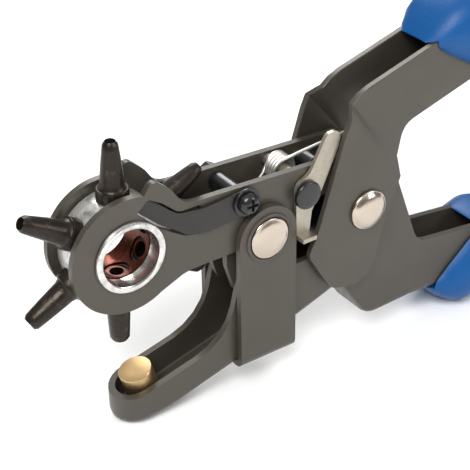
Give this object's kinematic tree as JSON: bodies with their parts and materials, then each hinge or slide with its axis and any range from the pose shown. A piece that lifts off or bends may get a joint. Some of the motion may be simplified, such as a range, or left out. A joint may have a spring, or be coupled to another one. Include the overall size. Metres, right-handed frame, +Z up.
{
  "type": "rotary hole punch",
  "caption": "Compound-action rotary hole punch for leather: pressed steel handles with blue grips, saddle link, turret of graded punch tubes and a brass anvil.",
  "frame": {"origin": "middle of the footprint, on the ground plane under the tool as it stands on the nose of its lower jaw and its lower grip", "axes": "+X from the jaws towards the grips, +Y towards the far side (the side with the lock lever faces -Y), +Z up"},
  "size_m": [0.2466, 0.0274, 0.1365],
  "materials": {
    "lacquered_steel": "satin grey-brown lacquer on pressed sheet",
    "chrome": "bright nickel-chrome plate",
    "zinc": "zinc plated stampings and pins",
    "black_oxide": "black oxide, semi-gloss",
    "tube_steel": "dark bronze-black finish with fine pits",
    "cast_metal": "bright as-cast zinc alloy",
    "brass": "turned brass",
    "grip_blue": "moulded blue vinyl",
    "spring_wire": "bright plated spring wire"
  },
  "bodies": {
    "frame": {"frame_channel": "lacquered_steel", "anvil": "brass", "lower_grip": "grip_blue", "handle_rivet": "chrome", "handle_washer_near": "zinc", "handle_washer_far": "zinc"},
    "upper_handle": {"handle_channel": "lacquered_steel", "upper_grip": "grip_blue", "drive_pin": "zinc"},
    "link": {"saddle_link": "lacquered_steel", "jaw_rivet": "chrome"},
    "upper_jaw": {"jaw_plate_near": "lacquered_steel", "jaw_plate_far": "lacquered_steel", "hub_bush_near": "cast_metal", "hub_bush_far": "cast_metal", "detent_spring": "lacquered_steel", "detent_washer": "black_oxide", "detent_screw": "black_oxide", "detent_nut": "black_oxide", "screw_spacer": "black_oxide", "drive_tongue": "black_oxide", "tail_rivet_front": "zinc", "tail_rivet_rear": "zinc", "spring_pin": "zinc", "torsion_spring": "spring_wire", "lever_rivet": "black_oxide"},
    "turret": {"turret_drum": "cast_metal", "punch_tube_1": "tube_steel", "punch_tube_2": "tube_steel", "punch_tube_3": "tube_steel", "punch_tube_4": "tube_steel", "punch_tube_5": "tube_steel", "punch_tube_6": "tube_steel"},
    "lock_lever": {"lock_lever": "zinc"}
  },
  "joints": [
    {"name": "handle_squeeze", "type": "hinge", "parent": "frame", "child": "upper_handle", "pos_m": [-0.0163, 0, 0.05123], "axis": [0, 1, 0], "range_deg": [0, 20], "stiffness_Nm_per_rad": 2, "springref_deg": -20.05, "deforming": ["torsion_spring"]},
    {"name": "link_swing", "type": "hinge", "parent": "frame", "child": "link", "pos_m": [-0.04922, 0, 0.01171], "axis": [0, -1, 0], "range_deg": [0, 6.9]},
    {"name": "jaw_close", "type": "hinge", "parent": "link", "child": "upper_jaw", "pos_m": [-0.0515, 0, 0.05194], "axis": [0, -1, 0], "range_deg": [0, 10.56]},
    {"name": "turret_turn", "type": "hinge", "parent": "upper_jaw", "child": "turret", "pos_m": [-0.09513, 0, 0.05829], "axis": [0, 1, 0], "continuous": true},
    {"name": "lock_lever_turn", "type": "hinge", "parent": "upper_jaw", "child": "lock_lever", "pos_m": [-0.03843, 0, 0.0617], "axis": [0, -1, 0], "range_deg": [0, 6.5]}
  ],
  "couplings": [
    {"joint": "link_swing", "follows": "handle_squeeze", "ratio": 0.345},
    {"joint": "jaw_close", "follows": "handle_squeeze", "ratio": 0.528}
  ]
}
